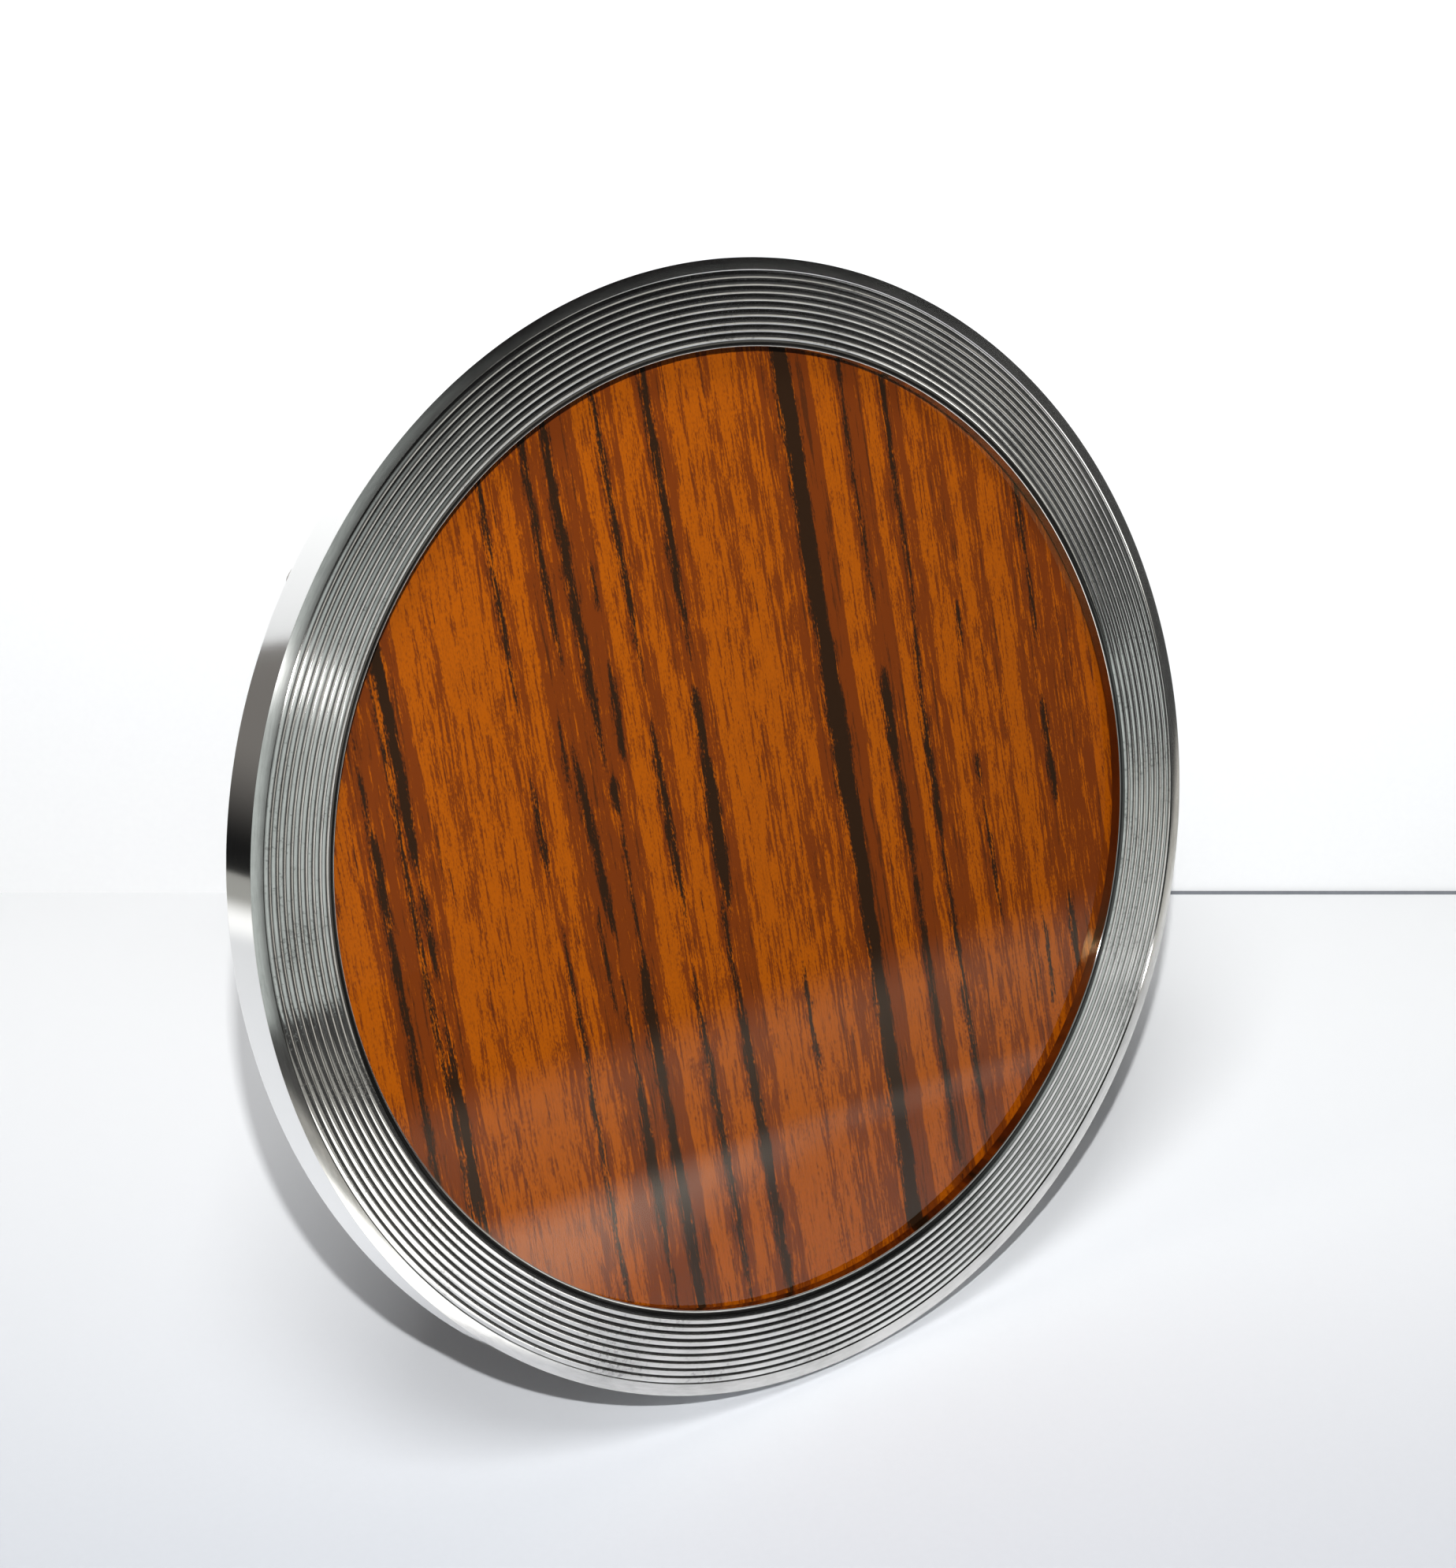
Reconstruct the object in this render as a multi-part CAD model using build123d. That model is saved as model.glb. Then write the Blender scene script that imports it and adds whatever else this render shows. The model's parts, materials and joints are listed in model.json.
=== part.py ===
from build123d import *
import os
from math import acos, asin, cos, radians, sin

# Round table frame for a photograph. A turned metal ring with a reeded face holds glass, a wood-grain
# card, a packing card and a hardboard back. Turn buttons keep the back in. A hinged strut stands it up.
# The ring is drawn face up about Z with the tops of its reeds at zero, then tipped to lean back.

# Ring, in millimetres
OUTER_DIAMETER = 150.0
RIM_WALL = 6.8
LIP_OVERLAP = 4.6
LIP_THICKNESS = 2.0
LIP_WIDTH = 0.25
BEVEL_WIDTH = 0.55
BEVEL_RISE = 0.055
FACE_CROWN = 0.16
REED_PITCH = 1.0
REED_RISE = 0.12
OUTER_LAND = 1.7
LAND_SIDE = 0.15
EDGE_DROP = 0.16
BACK_EDGE_RADIUS = 0.5

# Sheets stacked in the rebate, front to back
GLASS_THICKNESS = 2.0
CARD_THICKNESS = 0.4
PACKING_THICKNESS = 0.4
BOARD_THICKNESS = 2.2
REBATE_CLEARANCE = 0.25
GLASS_ARRIS = 0.2

# Turn buttons and their screws
BUTTON_SPREAD = 40.0
BUTTON_OVERLAP = 5.6
BUTTON_WIDTH = 6.0
BUTTON_NOSE_WIDTH = 3.6
BUTTON_THICKNESS = 0.8
BUTTON_EDGE_RADIUS = 0.2
BUTTON_PLAY = 0.05
SCREW_DIAMETER = 2.0
SCREW_ENGAGEMENT = 3.5
SCREW_HOLE_SPARE = 0.5
SCREW_HEAD_DIAMETER = 4.0
SCREW_HEAD_HEIGHT = 1.3
SCREW_SLOT_WIDTH = 0.5
SCREW_SLOT_DEPTH = 0.6
WASHER_DIAMETER = 4.6
WASHER_THICKNESS = 0.3

# Hinge, as high above the ring's centre as HINGE_HEIGHT
HINGE_HEIGHT = 25.0
HINGE_WIDTH = 24.0
MIDDLE_KNUCKLE_WIDTH = 10.0
KNUCKLE_GAP = 0.3
LEAF_THICKNESS = 0.8
LEAF_CORNER_RADIUS = 2.0
BACK_LEAF_LENGTH = 16.0
STRUT_LEAF_LENGTH = 18.0
BARREL_STANDOFF = 0.15
PIN_DIAMETER = 1.4
PIN_HEAD_DIAMETER = 2.4
PIN_HEAD_WIDTH = 0.6
STOP_GAP = 0.05
RIVET_DIAMETER = 1.8
RIVET_HEAD_DIAMETER = 3.4
RIVET_HEAD_HEIGHT = 0.7
RIVET_INSET = 3.0

# Strut
STRUT_THICKNESS = 2.2
STRUT_TOP_WIDTH = 22.0
STRUT_FOOT_WIDTH = 30.0
STRUT_CORNER_RADIUS = 4.0
STRUT_LEAF_MARGIN = 2.0
STRUT_OPENING = 24.0
FOLD_GAP = 0.35

# How far the face leans back from upright, in degrees
LEAN = 15.0

# Fits
SEAT_CLEARANCE = 0.03
RUNNING_CLEARANCE = 0.05

# Ring worked out from its wall and lip
rim_radius = OUTER_DIAMETER / 2
rebate_radius = rim_radius - RIM_WALL
sight_radius = rebate_radius - LIP_OVERLAP
first_groove = sight_radius + LIP_WIDTH + BEVEL_WIDTH
last_groove = rim_radius - OUTER_LAND
reed_count = max(1, round((last_groove - first_groove) / REED_PITCH))
reed_width = (last_groove - first_groove) / reed_count

# Depths below the tops of the reeds
glass_front = LIP_THICKNESS
card_front = glass_front + GLASS_THICKNESS
packing_front = card_front + CARD_THICKNESS
board_front = packing_front + PACKING_THICKNESS
rim_depth = board_front + BOARD_THICKNESS
sheet_radius = rebate_radius - REBATE_CLEARANCE

# Turn buttons swivel on the middle of the ring's back
pivot_radius = (rim_radius + rebate_radius) / 2
button_reach = pivot_radius - rebate_radius + BUTTON_OVERLAP
button_front = rim_depth + BUTTON_PLAY
washer_front = button_front + BUTTON_THICKNESS + BUTTON_PLAY
screw_head_front = washer_front + WASHER_THICKNESS
button_angles = [BUTTON_SPREAD, 180 - BUTTON_SPREAD, 180 + BUTTON_SPREAD, 360 - BUTTON_SPREAD]

# The hinge barrel is as thick as the folded strut and its leaf need
barrel_radius = (STRUT_THICKNESS + FOLD_GAP + LEAF_THICKNESS - BARREL_STANDOFF) / 2
axis_offset = barrel_radius + BARREL_STANDOFF
barrel_margin = barrel_radius + KNUCKLE_GAP
leaf_inner = barrel_radius - LEAF_THICKNESS
pin_hole_radius = PIN_DIAMETER / 2 + RUNNING_CLEARANCE
rivet_hole_radius = RIVET_DIAMETER / 2 + SEAT_CLEARANCE
strut_leaf_width = STRUT_TOP_WIDTH - 2 * STRUT_LEAF_MARGIN

# The stop tongue meets the back leaf when the strut is fully open
opening = radians(STRUT_OPENING)
tongue_length = (axis_offset - LEAF_THICKNESS - STOP_GAP + leaf_inner * cos(opening)) / sin(opening)

# The ring's back edge stands on the floor
lean = radians(LEAN)
centre_height = (
    (rim_radius - BACK_EDGE_RADIUS) * cos(lean)
    + (rim_depth - BACK_EDGE_RADIUS) * sin(lean)
    + BACK_EDGE_RADIUS
)
axis_height = centre_height + HINGE_HEIGHT * cos(lean) - (rim_depth + axis_offset) * sin(lean)
strut_middle = STRUT_THICKNESS / 2 - leaf_inner
strut_slope = opening - lean
strut_length = (axis_height - strut_middle * sin(strut_slope)) / cos(strut_slope)

tip = Pos(0, 0, centre_height) * Rot(90 - LEAN, 0, 0)
hinge_place = Pos(0, HINGE_HEIGHT, -rim_depth - axis_offset)
strut_place = hinge_place * Rot(STRUT_OPENING, 0, 0)


def sheet(front, thickness, radius=sheet_radius):
    """A round sheet whose front lies at the given depth."""
    return Pos(0, 0, -front - thickness / 2) * Cylinder(radius, thickness)


def slab(low, high):
    """A box between two corners."""
    size = [top - bottom for bottom, top in zip(low, high)]
    middle = [(top + bottom) / 2 for bottom, top in zip(low, high)]
    return Pos(*middle) * Box(*size)


def cross_rod(radius, start, end):
    """A rod along X, about the hinge axis."""
    return Pos((start + end) / 2, 0, 0) * Rot(0, 90, 0) * Cylinder(radius, end - start)


def crown_height(radius):
    """Height of the gently domed face at a radius, below its crest."""
    middle = (first_groove + last_groove) / 2
    share = (radius - middle) / (last_groove - middle)
    return -FACE_CROWN * share * share


def bezel_ring():
    """The ring: lip, bevel, reeds, outer land, side band and rebate, with tapped holes in its back."""
    reeds = []
    for index in range(reed_count):
        start = first_groove + index * reed_width
        middle, end = start + reed_width / 2, start + reed_width
        first, last = crown_height(start) - REED_RISE, crown_height(end) - REED_RISE
        reeds.append(ThreePointArc((start, first), (middle, crown_height(middle)), (end, last)))
    groove_height = crown_height(first_groove) - REED_RISE
    lip_height = groove_height - BEVEL_RISE
    bevel_foot = (sight_radius + LIP_WIDTH, lip_height)
    land_height = crown_height(last_groove)
    land_start = (last_groove + LAND_SIDE, land_height)
    land_end = (rim_radius, land_height - EDGE_DROP)
    land_middle = ((land_start[0] + rim_radius) / 2, land_height - EDGE_DROP / 4)
    edge_centre = (rim_radius - BACK_EDGE_RADIUS, BACK_EDGE_RADIUS - rim_depth)
    edge_middle = (
        edge_centre[0] + BACK_EDGE_RADIUS * cos(radians(45)),
        edge_centre[1] - BACK_EDGE_RADIUS * sin(radians(45)),
    )
    outline = [
        Line((sight_radius, -LIP_THICKNESS), (sight_radius, lip_height)),
        Line((sight_radius, lip_height), bevel_foot),
        Line(bevel_foot, (first_groove, groove_height)),
        *reeds,
        Line((last_groove, land_height - REED_RISE), land_start),
        ThreePointArc(land_start, land_middle, land_end),
        Line(land_end, (rim_radius, edge_centre[1])),
        ThreePointArc((rim_radius, edge_centre[1]), edge_middle, (edge_centre[0], -rim_depth)),
        Line((edge_centre[0], -rim_depth), (rebate_radius, -rim_depth)),
        Line((rebate_radius, -rim_depth), (rebate_radius, -LIP_THICKNESS)),
        Line((rebate_radius, -LIP_THICKNESS), (sight_radius, -LIP_THICKNESS)),
    ]
    ring = revolve(Plane.XZ * make_face(outline), Axis.Z)
    hole_depth = SCREW_ENGAGEMENT + SCREW_HOLE_SPARE
    hole = Pos(0, 0, hole_depth / 2 - rim_depth) * Cylinder(SCREW_DIAMETER / 2 + SEAT_CLEARANCE, hole_depth)
    for angle in button_angles:
        ring -= Rot(0, 0, angle) * Pos(pivot_radius, 0, 0) * hole
    return ring


def glass_disc():
    """Flat glass with its two sharp edges eased."""
    glass = sheet(glass_front, GLASS_THICKNESS)
    return chamfer(glass.edges().filter_by(GeomType.CIRCLE), GLASS_ARRIS)


def rivet_points(width, length):
    """Centres of four rivets on a leaf, measured from the hinge axis."""
    across = width / 2 - RIVET_INSET
    rows = (barrel_margin + RIVET_INSET, length - RIVET_INSET)
    return [(side * across, row) for row in rows for side in (-1, 1)]


def rivet(grip):
    """A rivet with a domed head below zero and its shank up to the grip."""
    head_radius = RIVET_HEAD_DIAMETER / 2
    dome_radius = (head_radius**2 + RIVET_HEAD_HEIGHT**2) / (2 * RIVET_HEAD_HEIGHT)
    dome_centre = dome_radius - RIVET_HEAD_HEIGHT
    half_angle = asin(head_radius / dome_radius) / 2
    dome_middle = (dome_radius * sin(half_angle), dome_centre - dome_radius * cos(half_angle))
    shank_radius = RIVET_DIAMETER / 2
    outline = [
        ThreePointArc((0, -RIVET_HEAD_HEIGHT), dome_middle, (head_radius, 0)),
        Line((head_radius, 0), (shank_radius, 0)),
        Line((shank_radius, 0), (shank_radius, grip)),
        Line((shank_radius, grip), (0, grip)),
        Line((0, grip), (0, -RIVET_HEAD_HEIGHT)),
    ]
    return revolve(Plane.XZ * make_face(outline), Axis.Z)


def rivet_group(points, seat, grip):
    """Rivets standing on one leaf, with their heads on its outer face."""
    return Compound(children=[Pos(across, along, seat) * rivet(grip) for across, along in points])


def rivet_holes(points, seat, grip):
    """The holes that those rivets pass through."""
    hole = Pos(0, 0, grip / 2) * Cylinder(rivet_hole_radius, grip)
    return [Pos(across, along, seat) * hole for across, along in points]


back_points = rivet_points(HINGE_WIDTH, BACK_LEAF_LENGTH)
back_seat = axis_offset - LEAF_THICKNESS
back_grip = LEAF_THICKNESS + BOARD_THICKNESS
strut_points = [(across, -along) for across, along in rivet_points(strut_leaf_width, STRUT_LEAF_LENGTH)]
strut_seat = -barrel_radius
strut_grip = LEAF_THICKNESS + STRUT_THICKNESS


def back_board():
    """Hardboard back with holes for the back leaf's rivets."""
    board = sheet(board_front, BOARD_THICKNESS)
    for hole in rivet_holes(back_points, back_seat, back_grip):
        board -= hinge_place * hole
    return board


def turn_button():
    """A flat teardrop that swivels about zero, with its nose along X."""
    big = BUTTON_WIDTH / 2
    small = BUTTON_NOSE_WIDTH / 2
    nose = button_reach - small
    turn = acos((big - small) / nose)
    heel_top = (big * cos(turn), big * sin(turn))
    nose_top = (nose + small * cos(turn), small * sin(turn))
    heel_bottom = (heel_top[0], -heel_top[1])
    nose_bottom = (nose_top[0], -nose_top[1])
    outline = make_face([
        Line(heel_top, nose_top),
        ThreePointArc(nose_top, (button_reach, 0), nose_bottom),
        Line(nose_bottom, heel_bottom),
        ThreePointArc(heel_bottom, (-big, 0), heel_top),
    ])
    button = Pos(0, 0, -button_front) * extrude(outline, -BUTTON_THICKNESS)
    button = fillet(button.edges().group_by(Axis.Z)[0], BUTTON_EDGE_RADIUS)
    return button - sheet(button_front, BUTTON_THICKNESS, SCREW_DIAMETER / 2 + RUNNING_CLEARANCE)


def button_screw():
    """A slotted screw through the button into the ring."""
    shank_length = screw_head_front - rim_depth + SCREW_ENGAGEMENT
    shank = sheet(screw_head_front - shank_length, shank_length, SCREW_DIAMETER / 2)
    head = sheet(screw_head_front, SCREW_HEAD_HEIGHT, SCREW_HEAD_DIAMETER / 2)
    head_back = -screw_head_front - SCREW_HEAD_HEIGHT
    half_slot = SCREW_SLOT_WIDTH / 2
    slot = slab(
        (-SCREW_HEAD_DIAMETER, -half_slot, head_back - SCREW_SLOT_DEPTH),
        (SCREW_HEAD_DIAMETER, half_slot, head_back + SCREW_SLOT_DEPTH),
    )
    return shank + head - slot


def button_washer():
    """A plain washer under a screw head."""
    hole = sheet(washer_front, WASHER_THICKNESS, SCREW_DIAMETER / 2 + RUNNING_CLEARANCE)
    return sheet(washer_front, WASHER_THICKNESS, WASHER_DIAMETER / 2) - hole


def at_pivots(piece):
    """Copies of a piece at each swivel point, turned to face the ring's centre."""
    return [Rot(0, 0, angle) * Pos(pivot_radius, 0, 0) * Rot(0, 0, 180) * piece for angle in button_angles]


def hinge_back_leaf():
    """Leaf on the back board: a plate above the axis and the two outer knuckles."""
    half_width = HINGE_WIDTH / 2
    half_middle = MIDDLE_KNUCKLE_WIDTH / 2 + KNUCKLE_GAP
    leaf = slab((-half_width, 0, back_seat), (half_width, BACK_LEAF_LENGTH, axis_offset))
    leaf = fillet(leaf.edges().filter_by(Axis.Z).group_by(Axis.Y)[-1], LEAF_CORNER_RADIUS)
    leaf -= slab((-half_middle, -barrel_margin, -axis_offset), (half_middle, barrel_margin, 2 * axis_offset))
    leaf += cross_rod(barrel_radius, -half_width, -half_middle)
    leaf += cross_rod(barrel_radius, half_middle, half_width)
    leaf -= cross_rod(pin_hole_radius, -half_width, half_width)
    for hole in rivet_holes(back_points, back_seat, back_grip):
        leaf -= hole
    return leaf


def hinge_strut_leaf():
    """Leaf on the strut: a plate below the axis, the middle knuckle and the stop tongue."""
    half_width = strut_leaf_width / 2
    half_middle = MIDDLE_KNUCKLE_WIDTH / 2
    plate = slab((-half_width, -STRUT_LEAF_LENGTH, -barrel_radius), (half_width, -barrel_margin, -leaf_inner))
    plate = fillet(plate.edges().filter_by(Axis.Z).group_by(Axis.Y)[0], LEAF_CORNER_RADIUS)
    neck_low = -barrel_margin - LEAF_THICKNESS
    plate += slab((-half_middle, neck_low, -barrel_radius), (half_middle, tongue_length, -leaf_inner))
    plate += cross_rod(barrel_radius, -half_middle, half_middle)
    plate -= cross_rod(pin_hole_radius, -half_middle, half_middle)
    for hole in rivet_holes(strut_points, strut_seat, strut_grip):
        plate -= hole
    return plate


def hinge_pin():
    """Hinge pin with a head at each end."""
    half_width = HINGE_WIDTH / 2
    pin = cross_rod(PIN_DIAMETER / 2, -half_width, half_width)
    pin += cross_rod(PIN_HEAD_DIAMETER / 2, -half_width - PIN_HEAD_WIDTH, -half_width)
    pin += cross_rod(PIN_HEAD_DIAMETER / 2, half_width, half_width + PIN_HEAD_WIDTH)
    return pin


def strut():
    """Tapered hardboard leg, cut level where it stands on the floor."""
    top = -barrel_margin
    spare = STRUT_THICKNESS
    taper = (STRUT_FOOT_WIDTH - STRUT_TOP_WIDTH) / 2 / (strut_length + top)
    half_top = STRUT_TOP_WIDTH / 2
    half_end = STRUT_FOOT_WIDTH / 2 + taper * spare
    low = -strut_length - spare
    outline = make_face(Polyline((-half_top, top), (half_top, top), (half_end, low), (-half_end, low), close=True))
    leg = Pos(0, 0, -leaf_inner) * extrude(outline, STRUT_THICKNESS)
    leg = fillet(leg.edges().filter_by(Axis.Z).group_by(Axis.Y)[-1], STRUT_CORNER_RADIUS)
    for hole in rivet_holes(strut_points, strut_seat, strut_grip):
        leg -= hole
    return leg


def stand_on_floor(leg):
    """Cuts the leg off at floor level, as it stands."""
    box = leg.bounding_box()
    below = slab((box.min.X - 1, box.min.Y - 1, box.min.Z - 1), (box.max.X + 1, box.max.Y + 1, 0))
    return leg - below


ring_pieces = {
    "bezel_ring": bezel_ring(),
    "glass_disc": glass_disc(),
    "woodgrain_card": sheet(card_front, CARD_THICKNESS),
    "packing_card": sheet(packing_front, PACKING_THICKNESS),
    "back_board": back_board(),
    "turn_button_screws": Compound(children=at_pivots(button_screw())),
    "turn_button_washers": Compound(children=at_pivots(button_washer())),
    "hinge_back_leaf": hinge_place * hinge_back_leaf(),
    "hinge_pin": hinge_place * hinge_pin(),
    "back_leaf_rivets": hinge_place * rivet_group(back_points, back_seat, back_grip),
    "hinge_strut_leaf": strut_place * hinge_strut_leaf(),
    "strut_leaf_rivets": strut_place * rivet_group(strut_points, strut_seat, strut_grip),
    "strut": strut_place * strut(),
}
for number, button in enumerate(at_pivots(turn_button()), start=1):
    ring_pieces[f"turn_button_{number}"] = button

pieces = {name: tip * piece for name, piece in ring_pieces.items()}
pieces["strut"] = stand_on_floor(pieces["strut"])

# The origin is on the floor, under the middle of the standing frame
boxes = [piece.bounding_box() for piece in pieces.values()]
middle_y = (min(box.min.Y for box in boxes) + max(box.max.Y for box in boxes)) / 2
centring = Pos(0, -middle_y, 0)

os.makedirs("parts", exist_ok=True)
for name, piece in pieces.items():
    export_step(centring * piece, f"parts/{name}.step")
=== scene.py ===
"""Looks of a round table frame.

A reeded silver ring holds glass over a wood-grain card. Behind them are a hardboard back, the turn buttons
that keep it in, and a hinged strut.
"""

from __future__ import annotations

import json
import logging
from dataclasses import dataclass
from enum import Enum
from math import cos, pi, radians, sin, tau
from typing import Iterable, NamedTuple, Sequence

import bpy
from mathutils import Euler, Matrix, Vector

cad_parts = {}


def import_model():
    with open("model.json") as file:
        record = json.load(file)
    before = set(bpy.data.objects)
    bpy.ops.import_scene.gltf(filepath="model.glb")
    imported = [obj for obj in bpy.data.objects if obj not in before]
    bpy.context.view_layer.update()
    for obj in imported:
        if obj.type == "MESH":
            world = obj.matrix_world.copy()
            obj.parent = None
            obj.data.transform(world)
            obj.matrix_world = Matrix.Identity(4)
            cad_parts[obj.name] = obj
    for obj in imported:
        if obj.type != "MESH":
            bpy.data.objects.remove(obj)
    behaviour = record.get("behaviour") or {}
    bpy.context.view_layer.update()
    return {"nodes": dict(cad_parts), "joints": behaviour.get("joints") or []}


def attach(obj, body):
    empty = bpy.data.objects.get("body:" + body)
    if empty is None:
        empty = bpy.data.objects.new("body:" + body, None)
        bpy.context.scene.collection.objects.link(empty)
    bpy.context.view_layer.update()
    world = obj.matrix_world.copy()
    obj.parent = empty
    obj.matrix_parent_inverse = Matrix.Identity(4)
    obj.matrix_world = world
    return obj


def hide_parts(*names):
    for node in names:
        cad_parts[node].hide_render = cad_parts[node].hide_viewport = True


LOG = logging.getLogger("round_frame")
MM = 0.001
SMOOTH_ANGLE = radians(32)
CRISP_ANGLE = radians(30)

Colour = tuple[float, float, float]
Place = tuple[float, float, float]
Point = tuple[float, float]
Span = tuple[float, float]
Settings = dict[str, object]
Sockets = dict[int | str, object]


class Body(Enum):
    """The rigid bodies that new pieces ride on."""

    FRAME = "frame"


class Slot(Enum):
    """Material slots of the record, whose names the new pieces' finishes share."""

    SILVER = "silver_plate"
    GLASS = "clear_glass"


class Wire:
    """A socket that Python's operators turn into Math nodes."""

    def __init__(self, graph: Graph, socket: bpy.types.NodeSocket) -> None:
        """Keeps the graph and the output socket that this wire starts from."""
        self.graph = graph
        self.socket = socket

    def __add__(self, other: Wire | float) -> Wire:
        """self + other."""
        return self.graph.math("ADD", self, other)

    __radd__ = __add__

    def __sub__(self, other: Wire | float) -> Wire:
        """self - other."""
        return self.graph.math("SUBTRACT", self, other)

    def __rsub__(self, other: float) -> Wire:
        """other - self."""
        return self.graph.math("SUBTRACT", other, self)

    def __mul__(self, other: Wire | float) -> Wire:
        """self * other."""
        return self.graph.math("MULTIPLY", self, other)

    __rmul__ = __mul__

    def __truediv__(self, other: Wire | float) -> Wire:
        """self / other."""
        return self.graph.math("DIVIDE", self, other)

    def __abs__(self) -> Wire:
        """The size of the value, without its sign."""
        return self.graph.math("ABSOLUTE", self)

    def root(self) -> Wire:
        """The square root."""
        return self.graph.math("SQRT", self)

    def fraction(self) -> Wire:
        """The part after the decimal point."""
        return self.graph.math("FRACT", self)

    def larger(self, other: Wire | float) -> Wire:
        """The larger of the two values."""
        return self.graph.math("MAXIMUM", self, other)

    def mixed(self, other: Wire, share: float) -> Wire:
        """This value with a share of another in its place."""
        return self * (1 - share) + other * share

    def ease(self, start: float, end: float) -> Wire:
        """A smooth step.

        Args:
            start: Value where the result is 0.
            end: Value where the result is 1; it may lie below start.

        Returns:
            The step, from 0 to 1.
        """
        low, high = min(start, end), max(start, end)
        sockets = {"Value": self, "From Min": low, "From Max": high}
        step = self.graph.wire("ShaderNodeMapRange", {"interpolation_type": "SMOOTHSTEP"}, sockets)
        return step if start < end else 1 - step


class Graph:
    """A node tree that is filled by expressions."""

    def __init__(self, tree: bpy.types.NodeTree) -> None:
        """Starts on a cleared tree."""
        self.tree = tree
        self.tree.nodes.clear()

    @classmethod
    def of_material(cls, name: str) -> tuple[Graph, bpy.types.Material]:
        """Makes a material.

        Args:
            name: The material's name.

        Returns:
            Its empty graph and the material.
        """
        material = bpy.data.materials.new(name)
        material.use_nodes = True
        return cls(material.node_tree), material

    def node(self, kind: str, settings: Settings, sockets: Sockets) -> bpy.types.Node:
        """Adds any node.

        Args:
            kind: The node's type.
            settings: Its settings, which are set first.
            sockets: Input names or indices with their values or wires.

        Returns:
            The node.
        """
        node = self.tree.nodes.new(kind)
        for key, value in settings.items():
            setattr(node, key, value)
        for key, value in sockets.items():
            socket = node.inputs[key]
            if isinstance(value, Wire):
                self.tree.links.new(value.socket, socket)
            elif socket.type == "RGBA":
                socket.default_value = (*value, 1.0)
            else:
                socket.default_value = value
        return node

    def wire(self, kind: str, settings: Settings, sockets: Sockets, output: int | str = 0) -> Wire:
        """Adds a node and returns one of its outputs; the other arguments are those of node()."""
        return Wire(self, self.node(kind, settings, sockets).outputs[output])

    def math(self, operation: str, *values: Wire | float) -> Wire:
        """Adds a Math node on the given values."""
        return self.wire("ShaderNodeMath", {"operation": operation}, dict(enumerate(values)))

    def mix(self, share: Wire | float, first: Wire | Colour, second: Wire | Colour) -> Wire:
        """The first colour with a share of the second in its place."""
        return self.wire("ShaderNodeMix", {"data_type": "RGBA"}, {0: share, 6: first, 7: second}, 2)

    def join(self, x: Wire | float, y: Wire | float, z: Wire | float) -> Wire:
        """A vector from three values."""
        return self.wire("ShaderNodeCombineXYZ", {}, {0: x, 1: y, 2: z})

    def split(self, vector: Wire) -> tuple[Wire, Wire, Wire]:
        """The three values of a vector."""
        node = self.node("ShaderNodeSeparateXYZ", {}, {0: vector})
        return Wire(self, node.outputs[0]), Wire(self, node.outputs[1]), Wire(self, node.outputs[2])

    def noise(self, vector: Wire, cells: float, detail: float, roughness: float) -> Wire:
        """Noise from 0 to 1 at a vector, with a number of cells for each unit of it."""
        sockets = {"Vector": vector, "Scale": cells, "Detail": detail, "Roughness": roughness}
        return self.wire("ShaderNodeTexNoise", {}, sockets)

    def object_place(self) -> Wire:
        """The point on the surface in the piece's own axes, in metres."""
        return self.wire("ShaderNodeTexCoord", {}, {}, "Object")

    def from_behind(self) -> Wire:
        """1 where the surface is seen from its back, and 0 elsewhere."""
        return self.wire("ShaderNodeNewGeometry", {}, {}, "Backfacing")

    def scaled(self, vector: Wire, factor: float) -> Wire:
        """A vector times a number."""
        return self.wire("ShaderNodeVectorMath", {"operation": "SCALE"}, {"Vector": vector, "Scale": factor})

    def bump(self, height: Wire, strength: float, distance: float) -> Wire:
        """A normal from a height, with distance in metres."""
        sockets = {"Strength": strength, "Distance": distance, "Height": height}
        return self.wire("ShaderNodeBump", {}, sockets)

    def principled(self, **sockets: Wire | float | Colour) -> Wire:
        """A Principled shader, with underscores for the spaces in its sockets' names."""
        named = {key.replace("_", " "): value for key, value in sockets.items()}
        return self.wire("ShaderNodeBsdfPrincipled", {}, named)

    def clear(self, tint: Colour = (1.0, 1.0, 1.0)) -> Wire:
        """A shader that lets light straight through."""
        return self.wire("ShaderNodeBsdfTransparent", {}, {"Color": tint})

    def glow(self, colour: Wire | Colour) -> Wire:
        """A shader that shows a tone of its own, whatever light falls on it."""
        return self.wire("ShaderNodeEmission", {}, {"Color": colour})

    def mix_shaders(self, share: Wire, first: Wire, second: Wire) -> Wire:
        """The first shader with a share of the second in its place."""
        return self.wire("ShaderNodeMixShader", {}, {0: share, 1: first, 2: second})

    def surface(self, shader: Wire) -> None:
        """Joins a shader to the material's output."""
        self.node("ShaderNodeOutputMaterial", {}, {"Surface": shader})


@dataclass(frozen=True)
class EvenNoise:
    """Noise that is alike in all directions, with its cells for each unit of the place it is read at."""

    cells: float
    detail: float
    roughness: float

    def field(self, graph: Graph, place: Wire) -> Wire:
        """The noise at a place, from 0 to 1."""
        return graph.noise(place, self.cells, self.detail, self.roughness)


@dataclass(frozen=True)
class TurnedNoise:
    """Noise drawn out round the ring, with its cells for each radian and for each millimetre outward."""

    around: float
    outward: float
    detail: float
    roughness: float

    def field(self, graph: Graph, x: Wire, y: Wire, radius: Wire) -> Wire:
        """The noise at a point of the ring, from 0 to 1."""
        place = graph.join(x / radius * self.around, y / radius * self.around, radius * self.outward)
        return graph.noise(place, 1.0, self.detail, self.roughness)


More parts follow.
